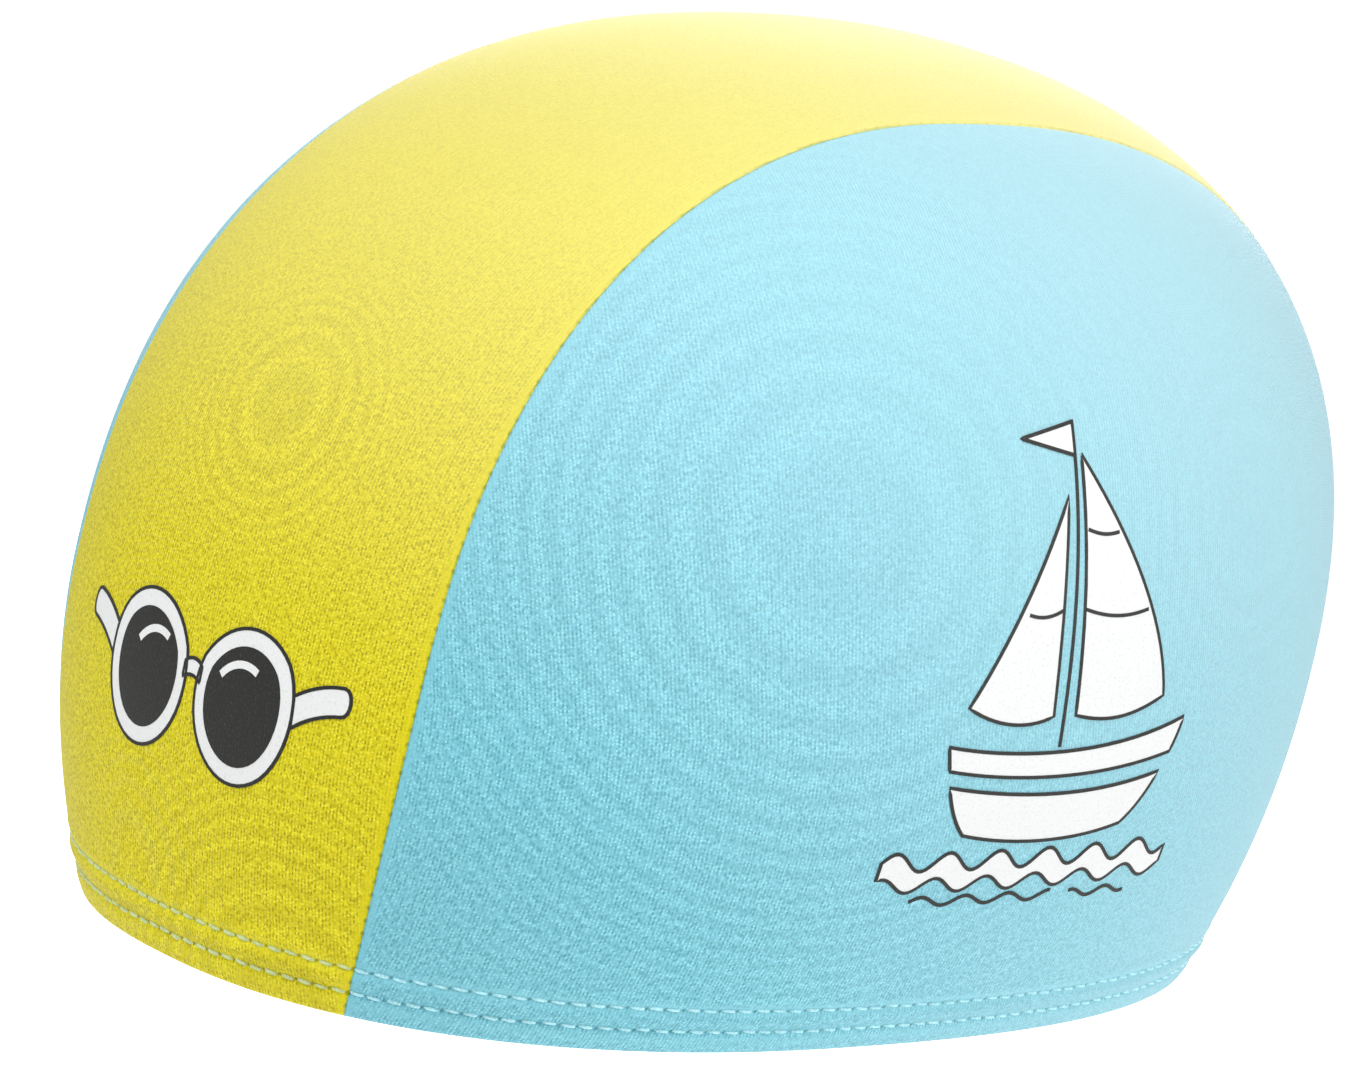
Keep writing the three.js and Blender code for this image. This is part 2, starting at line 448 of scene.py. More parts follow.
def hem_and_wall_rows():
    """Rows from the fold up to the widest level: height and offset, outside and then inside."""
    radius = HEM_DEPTH / 2
    turn = np.radians(np.linspace(0, 90, FOLD_STEPS + 1))
    height = radius * (1 - np.cos(turn))
    fold = [height, -radius + radius * np.sin(turn), height, -radius - radius * np.sin(turn)]
    band = np.arange(radius + HEM_STEP, HEM_TOP, HEM_STEP)
    inner = np.where(band < RAW_EDGE, -HEM_DEPTH, -CLOTH)
    wall = np.linspace(HEM_TOP, WIDEST_HEIGHT, WALL_STEPS, endpoint=False)
    bands = [band, relief(HEM_RELIEF, band), band, inner]
    walls = [wall, 0 * wall, wall, 0 * wall - CLOTH]
    return np.concatenate([np.stack(fold, -1), np.stack(bands, -1), np.stack(walls, -1)])


def panel_rows():
    """The places along, and the rows' heights and offsets, from the front rim to the back one."""
    wall = hem_and_wall_rows()
    arch_along = np.linspace(0, np.pi, ARCH_STEPS + 1)
    arch = np.tile([WIDEST_HEIGHT, 0, WIDEST_HEIGHT, -CLOTH], (ARCH_STEPS + 1, 1))
    along = np.concatenate([np.zeros(len(wall)), arch_along, np.full(len(wall), np.pi)])
    return along, np.concatenate([wall, arch, wall[::-1]])


def columns_from_seam(along, height, end_angle, count):
    """For each row the distances from the seam of its columns, and their places across."""
    share = np.linspace(0, 1, LENGTH_SAMPLES)
    start = seam_angle(along)[:, None]
    across = start + (end_angle - start) * share
    length = running_length(wall_point(across, along[:, None], height[:, None], 0.0))
    near = np.array(SEAM_COLUMNS, float)
    far = near[-1] + (length[:, -1:] - near[-1]) * np.linspace(0, 1, count + 1)[1:]
    distance = np.concatenate([np.tile(near, (len(along), 1)), far], 1)
    places = [np.interp(d, run, a) for d, run, a in zip(distance, length, across)]
    return distance, np.array(places)


def stitch_number(across, along):
    """How many stitches round the hem a place is, from the right ear forward."""
    turn = np.where(np.cos(along) > 0, 1 - across / np.pi, 1 + across / np.pi)
    return np.interp(turn, RING_TURN, RING_STITCH)


def panel_mesh(along, rows, distance, across, seam_relief, meets_at_last):
    """The points and faces of a panel as one closed wall of cloth."""
    off_fold = np.minimum(1, rows[:, :1] / (HEM_DEPTH / 2))
    outer_offset = rows[:, 1:2] + relief(seam_relief, distance) * off_fold
    outer = wall_point(across, along[:, None], rows[:, :1], outer_offset)
    inner = wall_point(across, along[:, None], rows[:, 2:3], rows[:, 3:4])
    return wall_mesh(outer, inner, 1 if meets_at_last else 2)


def panel_uvs(along, rows, distance, across, knit):
    """Places in the knit, stitch number and height for the hem, run and distance for the seam."""
    hem = (stitch_number(across, along[:, None]), rows[:, :1] + 0 * across)
    edge = running_length(wall_point(seam_angle(along), along, rows[:, 0], 0.0))
    seam = (edge[:, None] + 0 * across, distance)
    layers = {"knit": knit, "hem": hem, "seam": seam}
    return {n: np.tile(np.stack(uv, -1).reshape(-1, 2), (2, 1)) for n, uv in layers.items()}


def side_panels(material):
    along, rows = panel_rows()
    distance, across = columns_from_seam(along, rows[:, 0], 0.0, SIDE_COLUMNS)
    points, faces = panel_mesh(along, rows, distance, across, BLUE_SEAM_RELIEF, True)
    from_ear = distance[:, -1:] - distance
    down = np.maximum(0, WIDEST_HEIGHT - rows[:, :1])
    front = np.where(np.cos(along) > 0, 1.0, -1.0)[:, None]
    in_arch = rows[:, :1] >= WIDEST_HEIGHT
    knit_u = -from_ear * np.where(in_arch, np.cos(along)[:, None], front)
    knit_v = np.where(in_arch, from_ear * np.sin(along)[:, None], -down)
    lean = math.radians(KNIT_LEAN)
    turned_u = knit_u * math.cos(lean) + knit_v * math.sin(lean)
    turned_v = knit_v * math.cos(lean) - knit_u * math.sin(lean)
    uvs = panel_uvs(along, rows, distance, across, (turned_u, turned_v))
    look = (material, "blue_knit", uvs)
    left = new_object("side_panel_left_knit", points, faces, *look, weld=True)
    right = new_object("side_panel_right_knit", *mirrored(points, faces), *look, weld=True)
    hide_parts("side_panel_left")
    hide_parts("side_panel_right")
    return left, right


def centre_panel(material):
    along, rows = panel_rows()
    distance, across = columns_from_seam(along, rows[:, 0], np.pi / 2, CENTRE_COLUMNS)
    knit_u = distance[:, -1:] - distance
    distance = np.concatenate([distance, distance[:, -2::-1]], 1)
    across = np.concatenate([np.pi - across, across[:, -2::-1]], 1)
    knit_u = np.concatenate([-knit_u, knit_u[:, -2::-1]], 1)
    points, faces = panel_mesh(along, rows, distance, across, YELLOW_SEAM_RELIEF, False)
    middle = wall_point(np.full(len(along), np.pi / 2), along, rows[:, 0], 0.0)
    knit_v = running_length(middle)[:, None] + 0 * knit_u
    uvs = panel_uvs(along, rows, distance, across, (knit_u, knit_v))
    made = new_object("centre_panel_knit", points, faces, material, "yellow_knit", uvs, weld=True)
    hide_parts("centre_panel")
    return made


# Threads


def ring_point(turn, height, offset):
    """Points round the hem. turn runs from 0 at the right ear over the front and back to 2."""
    front = turn <= 1
    across = np.pi * np.where(front, 1 - turn, turn - 1)
    return wall_point(across, np.where(front, 0.0, np.pi), height, offset)


def ring_outward(turn):
    near = ring_point(turn, HEM_MIDDLE, 0.0)
    return unit(ring_point(turn, HEM_MIDDLE, 1.0) - near)


def ring_lengths():
    """Tables of the turn round the hem and of the stitches counted up to it."""
    turn = np.linspace(0, 2, RING_SAMPLES)
    length = running_length(ring_point(turn, HEM_MIDDLE, 0.0))
    count = round(length[-1] / STITCH_PITCH)
    return turn, length / length[-1] * count, count


RING_TURN, RING_STITCH, STITCH_COUNT = ring_lengths()


def turn_of_stitch(stitch):
    return np.interp(np.mod(stitch, STITCH_COUNT), RING_STITCH, RING_TURN)


def on_yellow(turn):
    """1 for a place round the hem that lies on the centre panel, and 0 for any other."""
    seam = seam_angle(np.where(turn <= 1, 0.0, np.pi))
    across = np.pi * np.abs(1 - turn)
    return np.where((across > seam) & (across < np.pi - seam), 1.0, 0.0)


def hem_stitches(name, height, seed, material):
    """A row of needle thread: one short tube for each stitch, from hole to hole."""
    random = np.random.default_rng(seed)
    share, rise, thick = np.array(STITCH_PATH).T
    start = np.arange(STITCH_COUNT)[:, None]
    turn = turn_of_stitch(start + share + random.normal(0, STITCH_SHIFT, (STITCH_COUNT, 1)))
    wander = random.normal(0, STITCH_WANDER, (STITCH_COUNT, 1))
    level = height + STITCH_SLANT * (0.5 - share) + wander
    rise = rise + relief(HEM_RELIEF, height) + THREAD_RADIUS * STITCH_RAISED
    paths = ring_point(turn, level, rise + 0 * turn)
    cloth = on_yellow(turn_of_stitch(start + 0.5))
    radii = THREAD_RADIUS * thick * random.normal(1, STITCH_SPREAD, (STITCH_COUNT, 1))
    radii = radii * (1 + THICKER_ON_YELLOW * cloth)
    points, faces = tube_mesh(paths, ring_outward(turn), radii, THREAD_SIDES, False)
    cloth = np.repeat(cloth, len(share) * THREAD_SIDES)
    uvs = {"cloth": np.stack([cloth, 0 * cloth], -1)}
    return new_object(name, points, faces, material, "hem_thread", uvs)


def hem_looper(name, phase, material):
    """Looper thread inside the hem, winding between the two rows of stitches."""
    stitch = np.arange(STITCH_COUNT * LOOPER_STEPS) / LOOPER_STEPS
    turn = turn_of_stitch(stitch)
    swing = 2 * np.pi * (stitch + phase)
    reach = (UPPER_ROW - LOWER_ROW) / 2 + LOOPER_OVERSHOOT
    height = HEM_MIDDLE + reach * np.sin(swing)
    offset = -HEM_DEPTH - LOOPER_RADIUS * (1 + LOOPER_SWELL * np.cos(2 * swing))
    paths = ring_point(turn, height, offset)[None]
    outs = -ring_outward(turn)[None]
    points, faces = tube_mesh(paths, outs, LOOPER_RADIUS, INNER_THREAD_SIDES, True)
    return new_object(name, points, faces, material, "hem_thread")


def seam_rows():
    """The rows of the side panel above the hem, with their places across by distance."""
    along, rows = panel_rows()
    above = rows[:, 0] >= HEM_TOP - SEAM_FOLD_TOP
    along, height = along[above], rows[above, 0]
    share = np.linspace(0, SEAM_REACH_SHARE, SEAM_REACH_SAMPLES)
    start = seam_angle(along)[:, None]
    across = start * (1 - share)
    length = running_length(wall_point(across, along[:, None], height[:, None], 0.0))
    return along, height, across, length


def seam_fold(name, side, material):
    """The two sewn edges, folded back together on the side panel's inner face."""
    along, height, across, length = seam_rows()
    section = np.array(SEAM_FOLD_SECTION)
    places = np.array([np.interp(section, run, a) for run, a in zip(length, across)])
    round_off = np.array(SEAM_FOLD_ROUNDING)
    near = wall_point(places, along[:, None], height[:, None], -SEAM_FOLD_NEAR - round_off)
    far = wall_point(places, along[:, None], height[:, None], -SEAM_FOLD_FAR + round_off)
    points, faces = wall_mesh(near, far, 4)
    flat = np.stack([section + 0 * places, running_length(near[:, 0])[:, None] + 0 * places], -1)
    uv = np.tile(flat.reshape(-1, 2), (2, 1))
    away = np.full_like(uv, WIDEST_HEIGHT)
    if side < 0:
        points, faces = mirrored(points, faces)
    uvs = {"knit": uv, "hem": away, "seam": away}
    return new_object(name, points, faces, material, "blue_knit", uvs)


def seam_overlock(name, side, material):
    """Overlock thread over the folded edges inside."""
    along, height, across, length = seam_rows()
    line = wall_point(across[:, :1], along[:, None], height[:, None], 0.0)[:, 0]
    run = running_length(line)
    count = int(run[-1] / OVERLOCK_PITCH)
    step = np.linspace(0, count, count * OVERLOCK_STEPS + 1)
    at = step / count * run[-1]
    low, high = OVERLOCK_REACH
    distance = (low + high) / 2 + (high - low) / 2 * np.sin(2 * np.pi * step)
    row = np.interp(at, run, np.arange(len(run)))
    below = np.minimum(row.astype(int), len(run) - 2)
    part = row - below

    def place(d, row):
        return np.interp(d, length[row], across[row])

    place_at = np.array(
        [(1 - p) * place(d, b) + p * place(d, b + 1) for d, b, p in zip(distance, below, part)]
    )
    along_at = np.interp(at, run, along)
    height_at = np.interp(at, run, height)
    offset = -SEAM_FOLD_FAR - OVERLOCK_RADIUS * OVERLOCK_RAISED + 0 * at
    path = wall_point(place_at, along_at, height_at, offset)
    outs = unit(wall_point(place_at, along_at, height_at, offset - 1.0) - path)
    points, faces = tube_mesh(path[None], outs[None], OVERLOCK_RADIUS, INNER_THREAD_SIDES, False)
    if side < 0:
        points, faces = mirrored(points, faces)
    return new_object(name, points, faces, material, "hem_thread")


# Prints


def curve(start, pull_start, pull_end, end, steps=14):
    """Points of a Bezier curve, without its last."""
    t = np.linspace(0, 1, steps, endpoint=False)[:, None]
    shares = [(1 - t) ** 3, 3 * (1 - t) ** 2 * t, 3 * (1 - t) * t**2, t**3]
    corners = [start, pull_start, pull_end, end]
    return sum(share * np.array(corner) for share, corner in zip(shares, corners))


def line(start, end, steps=10):
    return curve(start, start, end, end, steps)


def outline(*parts):
    return np.concatenate(parts)


def wave_line(left, right, level, swing, length, phase=0.0):
    a = np.linspace(left, right, int((right - left) / WAVE_STEP))
    return np.stack([a, level + swing * np.sin(2 * np.pi * (a - left) / length + phase)], -1)


def filled(shape):
    """Triangles that fill a closed outline, with points inside so that they follow the cloth."""
    low, high = shape.min(0), shape.max(0)
    steps = [np.arange(a + FILM_GRID / 2, b, FILM_GRID) for a, b in zip(low, high)]
    inside = np.stack(np.meshgrid(*steps), -1).reshape(-1, 2)
    points = [Vector(p) for p in np.concatenate([shape, inside])]
    found = delaunay_2d_cdt(points, [], [list(range(len(shape)))], 1, 1e-4)
    corners = np.array([list(v) for v in found[0]])
    used = sorted({v for face in found[2] for v in face})
    number = {v: n for n, v in enumerate(used)}
    return corners[used], [[number[v] for v in face] for face in found[2]]


def stroke(points, width=LINE_WIDTH, closed=False):
    """Faces of a line of some width along points."""
    tangent = course(points, closed)
    aside = np.stack([-tangent[:, 1], tangent[:, 0]], -1) * width / 2
    corners = np.stack([points - aside, points + aside], 1).reshape(-1, 2)
    count = len(points)
    faces = []
    for here in range(count if closed else count - 1):
        there = (here + 1) % count
        faces.append([2 * here, 2 * there, 2 * there + 1, 2 * here + 1])
    return corners, faces


def side_surface(y, z):
    """The left side's distance out at a place seen from the side."""
    up = z - WIDEST_HEIGHT
    down = (np.maximum(0, -up) / WIDEST_HEIGHT) ** 2
    y = y - LEAN * up + OPENING_MIDDLE
    y = y / (1 - np.where(y < 0, FRONT_TUCK, BACK_TUCK) * down)
    reach = np.where(y < 0, FRONT_REACH, BACK_REACH)
    left = 1 - np.abs(y / reach) ** FULLNESS - (np.maximum(0, up) / CROWN_RISE) ** FULLNESS
    return HALF_WIDTH * left ** (1 / FULLNESS) * (1 - SIDE_TUCK * down)


def front_surface(x, z):
    """The front's place in y at a place seen from the front."""
    up = z - WIDEST_HEIGHT
    down = (np.maximum(0, -up) / WIDEST_HEIGHT) ** 2
    x = x / (1 - SIDE_TUCK * down)
    left = 1 - np.abs(x / HALF_WIDTH) ** FULLNESS - (np.maximum(0, up) / CROWN_RISE) ** FULLNESS
    reach = FRONT_REACH * left ** (1 / FULLNESS) * (1 - FRONT_TUCK * down)
    return -reach + LEAN * up - OPENING_MIDDLE


def laid_on(surface, axis, way, middle, flat, lift):
    """Flat points laid on a surface that faces way along an axis, 0 for x and 1 for y."""
    a, z = flat[:, 0] + middle[0], flat[:, 1] + middle[1]
    step = NORMAL_STEP
    slope_a = (surface(a + step, z) - surface(a - step, z)) / (2 * step)
    slope_z = (surface(a, z + step) - surface(a, z - step)) / (2 * step)
    point, out = [a, z], [-way * slope_a, -way * slope_z]
    point.insert(axis, surface(a, z))
    out.insert(axis, way * np.ones_like(a))
    return np.stack(point, -1) + unit(np.stack(out, -1)) * lift


def on_side(flat, lift):
    return laid_on(side_surface, 0, 1, SIDE_PRINT_PLACE, flat, lift)


def on_front(flat, lift):
    return laid_on(front_surface, 1, -1, FRONT_PRINT_PLACE, flat, lift)


def film(name, parts, place, lift, material, slot_name):
    """A thin printed film on the cloth, from flat parts: each is points and faces."""
    flat, faces, start = [], [], 0
    for corners, part_faces in parts:
        flat.append(corners)
        faces += [[v + start for v in face] for face in part_faces]
        start += len(corners)
    flat = np.concatenate(flat)
    points = np.concatenate([place(flat, lift), place(flat, lift - FILM_DEPTH)])
    edges = dict.fromkeys(edge for face in faces for edge in zip(face, face[1:] + face[:1]))
    rim = [(a, b) for a, b in edges if (b, a) not in edges]
    under = [[v + start for v in reversed(face)] for face in faces]
    sides = [[b, a, a + start, b + start] for a, b in rim]
    uv = np.tile(flat, (2, 1))
    uvs = {"knit": uv, "hem": np.full_like(uv, WIDEST_HEIGHT)}
    made = new_object(name, points, faces + under + sides, material, slot_name, uvs, sharp=40)
    work = bmesh.new()
    work.from_mesh(made.data)
    bmesh.ops.recalc_face_normals(work, faces=work.faces)
    work.to_mesh(made.data)
    work.free()
    return made


def boat_design():
    """A sailing boat on waves: the filled shapes and the lines."""
    main_sail = outline(
        line((2.2, -8.5), (1.2, 27.5)),
        curve((1.2, 27.5), (9.0, 17.0), (18.0, 4.0), (19.5, -6.5), 18),
        curve((19.5, -6.5), (13.0, -9.5), (8.0, -9.8), (2.2, -8.5)),
    )
    fore_sail = outline(
        curve((-2.0, -8.5), (-2.4, 2.0), (-2.2, 12.0), (-1.6, 22.0)),
        curve((-1.6, 22.0), (-6.5, 12.0), (-13.0, 0.0), (-17.5, -7.0)),
        curve((-17.5, -7.0), (-12.0, -10.0), (-6.0, -10.2), (-2.0, -8.5)),
    )
    deck = outline(
        curve((-20.0, -12.5), (-8.0, -14.5), (10.0, -14.5), (25.0, -10.0), 18),
        curve((25.0, -10.0), (24.4, -11.9), (23.7, -13.6), (22.9, -15.0), 6),
        curve((22.9, -15.0), (8.0, -18.0), (-8.0, -17.8), (-19.3, -16.0), 18),
        line((-19.3, -16.0), (-20.0, -12.5), 5),
    )
    hull = outline(
        curve((-18.7, -18.4), (-6.0, -20.4), (8.0, -20.6), (21.4, -17.8), 18),
        curve((21.4, -17.8), (19.6, -21.0), (17.8, -23.4), (15.5, -25.2), 8),
        curve((15.5, -25.2), (6.0, -27.6), (-6.0, -27.4), (-14.5, -25.6), 14),
        curve((-14.5, -25.6), (-16.6, -23.6), (-17.9, -21.2), (-18.7, -18.4), 8),
    )
    pennant = outline(
        line((0.0, 31.8), (-9.5, 29.6), 8),
        line((-9.5, 29.6), (0.0, 27.4), 8),
        line((0.0, 27.4), (0.0, 31.8), 6),
    )
    crest_top = wave_line(-27.0, 28.0, -29.6, 1.4, 9.2)
    crest_low = wave_line(-27.0, 28.0, -33.2, 1.1, 9.2, 0.9)
    crest = outline(crest_top, crest_low[::-1])
    shapes = [main_sail, fore_sail, deck, hull, crest, pennant]
    lines = [
        line((0.0, -13.0), (0.0, 32.2), 30),
        curve((1.9, 17.5), (4.5, 16.6), (6.0, 16.6), (8.6, 17.2), 10),
        curve((2.0, 6.5), (7.0, 5.0), (11.0, 5.2), (15.2, 6.4), 14),
        curve((-2.2, 6.5), (-4.5, 5.4), (-6.6, 5.2), (-9.2, 6.2), 10),
        wave_line(-20.0, 6.0, -35.8, 0.7, 8.0),
        wave_line(10.0, 22.0, -36.0, 0.6, 7.0, 1.0),
    ]
    return shapes, lines


def goggles_design():
    """Swimming goggles: the white frames, bridge and straps, the lenses and the glints."""

    def eye(side, grow):
        shape = outline(
            curve((3.2, 3.4), (6.5, 8.2), (13.5, 9.2), (17.6, 5.4), 14),
            curve((17.6, 5.4), (20.4, 2.4), (20.0, -3.6), (16.0, -6.8), 12),
            curve((16.0, -6.8), (11.0, -10.4), (4.6, -7.6), (2.9, -2.6), 14),
            curve((2.9, -2.6), (2.3, -0.6), (2.3, 1.4), (3.2, 3.4), 6),
        )
        middle = np.array(EYE_MIDDLE)
        shape = middle + (shape - middle) * grow
        shape = shape * np.array([side, GOGGLES_HEIGHT])
        return shape if side > 0 else shape[::-1]

    frames = [eye(side, FRAME_GROWTH) for side in (1, -1)]
    lenses = [eye(side, LENS_GROWTH) for side in (1, -1)]
    glint = curve((6.2, 3.0), (8.2, 5.6), (11.5, 6.2), (14.0, 4.4), 10)
    glints = [glint, glint + np.array([-20.0, 0.0])]
    bridge = outline(
        curve((-2.0, 2.9), (-0.8, 3.9), (0.8, 3.9), (2.0, 2.9), 8),
        line((2.0, 2.9), (2.0, 0.6), 4),
        curve((2.0, 0.6), (0.8, 1.5), (-0.8, 1.5), (-2.0, 0.6), 8),
        line((-2.0, 0.6), (-2.0, 2.9), 4),
    )
    straps = []
    for side in (1, -1):
        strap = outline(
            curve((20.4, 3.6), (22.6, 5.2), (25.2, 6.4), (28.0, 6.6), 8),
            curve((28.0, 6.6), (29.6, 6.6), (29.8, 2.8), (28.2, 2.6), 8),
            curve((28.2, 2.6), (25.6, 2.2), (23.0, 1.0), (20.7, -0.9), 8),
            line((20.7, -0.9), (20.4, 3.6), 5),
        )
        straps.append(strap if side > 0 else (strap * np.array([-1, 1]))[::-1])
    return frames + [bridge] + straps, lenses, glints


def side_print(white, dark):
    shapes, lines = boat_design()
    fills = [filled(s) for s in shapes]
    drawn = [stroke(s, closed=True) for s in shapes] + [stroke(s) for s in lines]
    return [
        film("side_print_white", fills, on_side, FILM_LIFT, white, "print_white"),
        film("side_print_lines", drawn, on_side, LINE_LIFT, dark, "print_dark"),
    ]


def front_print(white, dark):
    frames, lenses, glints = goggles_design()
    fills = [filled(s) for s in frames]
    drawn = [filled(s) for s in lenses] + [stroke(s, closed=True) for s in frames]
    shine = [stroke(s, GLINT_WIDTH) for s in glints]
    return [
        film("front_print_white", fills, on_front, FILM_LIFT, white, "print_white"),
        film("front_print_dark", drawn, on_front, LINE_LIFT, dark, "print_dark"),
        film("front_print_glints", shine, on_front, GLINT_LIFT, white, "print_white"),
    ]


# Materials


class Shader:
    """A material's node tree with short ways to add nodes to it."""

    def __init__(self, name):
        self.material = bpy.data.materials.new(name)
        self.material.use_nodes = True
        self.tree = self.material.node_tree
        self.surface = self.tree.nodes["Principled BSDF"]

    def put(self, socket, value):
        if isinstance(value, bpy.types.NodeSocket):
            self.tree.links.new(value, socket)
        else:
            socket.default_value = value

    def node(self, kind, settings=None, values=(), **inputs):
        """A new node, with its settings, its first inputs in turn and others by name."""
        made = self.tree.nodes.new(kind)
        for key, value in (settings or {}).items():
            setattr(made, key, value)
        for socket, value in zip(made.inputs, values):
            self.put(socket, value)
        for key, value in inputs.items():
            self.put(made.inputs[key.replace("_", " ")], value)
        return made

    def math(self, operation, *values):
        return self.node("ShaderNodeMath", {"operation": operation}, values).outputs[0]

    def smooth(self, value, start, end, low=0.0, high=1.0):
        settings = {"interpolation_type": "SMOOTHSTEP"}
        made = self.node("ShaderNodeMapRange", settings, (value, start, end, low, high))
        return made.outputs["Result"]

    def mix(self, share, first, second):
        made = self.node("ShaderNodeMix", {"data_type": "RGBA"}, Factor=share)
        self.put(made.inputs[6], first)
        self.put(made.inputs[7], second)
        return made.outputs[2]

    def uv(self, name):
        source = self.node("ShaderNodeUVMap", {"uv_map": name})
        split = self.node("ShaderNodeSeparateXYZ", Vector=source.outputs[0])
        return split.outputs[0], split.outputs[1]

    def place(self, u, v):
        return self.node("ShaderNodeCombineXYZ", values=(u, v)).outputs[0]

    def noise(self, vector, scale, detail=2.0, roughness=0.5):
        inputs = {"Vector": vector, "Scale": scale, "Detail": detail, "Roughness": roughness}
        return self.node("ShaderNodeTexNoise", **inputs).outputs["Fac"]

    def chance(self, first, second=0.0):
        """A random value from 0 to 1 for each pair of whole numbers."""
        settings, pair = {"noise_dimensions": "2D"}, self.place(first, second)
        return self.node("ShaderNodeTexWhiteNoise", settings, Vector=pair).outputs["Value"]

    def scaled(self, u, v, density):
        scaled = [self.math("MULTIPLY", *pair) for pair in zip((u, v), density)]
        return self.place(*scaled)

    def apart(self, value, middle):
        return self.math("ABSOLUTE", self.math("SUBTRACT", value, middle))

    def hypotenuse(self, first, second):
        squares = [self.math("POWER", side, 2.0) for side in (first, second)]
        return self.math("SQRT", self.math("ADD", *squares))

    def bump(self, height, strength, depth):
        """Fine relief on the surface, with its depth in millimetres."""
        made = self.node("ShaderNodeBump", Strength=strength, Distance=depth * MM, Height=height)
        self.put(self.surface.inputs["Normal"], made.outputs[0])

    def joined(self, operation, first, *others):
        for value in others:
            first = self.math(operation, first, value)
        return first

    def product(self, *values):
        return self.joined("MULTIPLY", *values)

    def even(self, **values):
        """Sets what is the same all over the surface, on the shader's own sockets."""
        for name, value in values.items():
            self.surface.inputs[name.replace("_", " ")].default_value = value


def rgb(red, green, blue):
    return (red, green, blue, 1.0)


def object_place(s):
    return s.node("ShaderNodeTexCoord").outputs["Object"]


def painted_haze_of(s):
    """Painted white haze for the lights' sheen: more towards the crown and the back."""
    split = s.node("ShaderNodeSeparateXYZ", Vector=object_place(s))
    rise = s.math("MULTIPLY_ADD", split.outputs[2], PAINTED_HAZE_BY_HEIGHT / MM, PAINTED_HAZE_AT_RIM)
    rise = s.math("MULTIPLY_ADD", split.outputs[1], PAINTED_HAZE_TO_BACK / MM, rise)
    return s.math("SMOOTH_MAX", rise, 0.0, PAINTED_HAZE_ROUNDING)


def knit_arcs(s, arcs):
    """Faint arcs in the cloth round some places, from 0 to 1 about a middle of 0.5."""
    here = object_place(s)
    total = 0.5
    for middle, turns, reach in arcs:
        places = (here, tuple(c * MM for c in middle))
        apart = s.node("ShaderNodeVectorMath", {"operation": "DISTANCE"}, places)
        away = s.math("DIVIDE", apart.outputs["Value"], MM)
        wave = s.math("SINE", s.math("MULTIPLY", s.math("POWER", away, 2.0), 2 * math.pi * turns))
        near = s.smooth(away, reach, reach * ARC_FADE, 0.0, 0.5)
        total = s.math("MULTIPLY_ADD", wave, near, total)
    return total


def groove_dashes(s, wale, v):
    """Dark dashes in the grooves between the wales."""
    number = s.math("ROUND", wale)
    dash = s.math("ADD", s.math("DIVIDE", v, DASH_PITCH), s.chance(number))
    groove = s.smooth(s.math("PINGPONG", wale, 0.5), *GROOVE_FADE)
    length = s.smooth(s.math("PINGPONG", dash, 0.5), *DASH_FADE)
    strength = s.smooth(s.chance(number, s.math("FLOOR", dash)), *DASH_CHANCE)
    return groove, s.product(groove, length, strength)


def wale_specks(s, wale, v):
    """Light specks where single loops of the wales catch the light."""
    number = s.math("FLOOR", wale)
    loop = s.math("ADD", s.math("DIVIDE", v, LOOP_PITCH), s.chance(number, LOOP_SEED))
    crest = s.smooth(s.math("PINGPONG", wale, 0.5), *CREST_FADE)
    length = s.smooth(s.math("PINGPONG", loop, 0.5), *LOOP_FADE)
    strength = s.smooth(s.chance(s.math("FLOOR", loop), number), *LOOP_CHANCE)
    return s.product(crest, length), s.product(crest, length, strength)


def seam_marks(s):
    """The dark pricks of the seam's stitches, and the smooth margin beside the seam."""
    run, beside = s.uv("seam")
    stitch = s.math("PINGPONG", s.math("DIVIDE", run, SEAM_STITCH), 0.5)
    apart = s.hypotenuse(s.math("MULTIPLY", stitch, SEAM_STITCH), beside)
    return s.smooth(apart, *PRICK_FADE), s.smooth(beside, *MARGIN_FADE)


def hem_marks(s):
    """Needle holes of both rows and the hem's fine puckers between and below them: relief and
    painted shade.
    """
    stitch, height = s.uv("hem")
    beside = s.math("MULTIPLY", s.math("PINGPONG", stitch, 0.5), STITCH_PITCH)
    rows = [s.apart(height, row + HOLE_RISE) for row in (LOWER_ROW, UPPER_ROW)]
    above = s.math("MINIMUM", *rows)
    hole = s.smooth(s.hypotenuse(beside, above), *HOLE_FADE)
    inside = s.smooth(height, *STREAK_TOP)
    streak = s.noise(s.scaled(stitch, height, STREAK_DENSITY), 1.0, 2.0)
    return hole, s.product(s.smooth(streak, *STREAK_CHANCE), inside)


def painted_hem_bands(s):
    """Painted highlight where the hem's roll faces the light, and painted shade where it turns
    away.
    """
    _, height = s.uv("hem")

    def band(middle, reach):
        return s.smooth(s.apart(height, middle), reach, BAND_CORE)

    lower = s.math("MULTIPLY", band(*LOWER_HIGHLIGHT_BAND), LOWER_HIGHLIGHT_SHARE)
    return s.math("MAXIMUM", band(*UPPER_HIGHLIGHT_BAND), lower), band(*PAINTED_SHADE_BAND)


